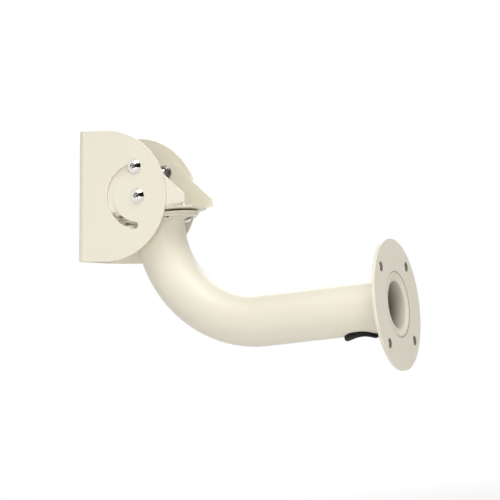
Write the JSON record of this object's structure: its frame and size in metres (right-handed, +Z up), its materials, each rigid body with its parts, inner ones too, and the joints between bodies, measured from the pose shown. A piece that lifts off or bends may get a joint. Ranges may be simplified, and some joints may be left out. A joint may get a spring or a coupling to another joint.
{
  "type": "camera housing bracket",
  "caption": "Painted steel wall bracket for a camera housing: a bent tube arm with a panning yoke and a tilting U-shaped mount, locked by screws in arc slots.",
  "frame": {"origin": "centre of the wall flange's wall face", "axes": "+X into the wall along the arm's straight tube, +Z up, the arm runs out along -X"},
  "size_m": [0.3072, 0.12, 0.2597],
  "materials": {
    "cream_paint": "semi-gloss cream powder coat",
    "chrome": "bright nickel plate",
    "dark_zinc": "dark zinc plate",
    "black_rubber": "matt black rubber",
    "black_washer": "matt black fibre"
  },
  "bodies": {
    "wall_arm": {"wall_flange": "cream_paint", "arm_tube": "cream_paint", "wall_side_weld": "cream_paint", "arm_side_weld": "cream_paint", "head_plate": "cream_paint", "head_weld": "cream_paint", "cable_grommet": "black_rubber"},
    "pan_yoke": {"pan_plate": "cream_paint", "friction_washer": "black_washer", "yoke": "cream_paint", "pivot_screw_near": "chrome", "pivot_screw_far": "chrome", "lock_screw_near": "chrome", "lock_screw_far": "chrome", "pivot_nut_near": "dark_zinc", "pivot_nut_far": "dark_zinc", "lock_nut_near": "dark_zinc", "lock_nut_far": "dark_zinc", "pan_screw_1": "chrome", "pan_screw_2": "chrome", "pan_screw_3": "chrome", "pan_nut_1": "chrome", "pan_nut_2": "chrome", "pan_nut_3": "chrome"},
    "camera_cradle": {"camera_mount": "cream_paint"}
  },
  "joints": [
    {"name": "pan", "type": "hinge", "parent": "wall_arm", "child": "pan_yoke", "pos_m": [-0.2315, 0, 0.1106], "axis": [0, 0, 1], "range_deg": [-41, 29]},
    {"name": "tilt", "type": "hinge", "parent": "pan_yoke", "child": "camera_cradle", "pos_m": [-0.23468, -0.00033, 0.1303], "axis": [-0.1045, 0.9945, 0], "range_deg": [0, 165]}
  ]
}
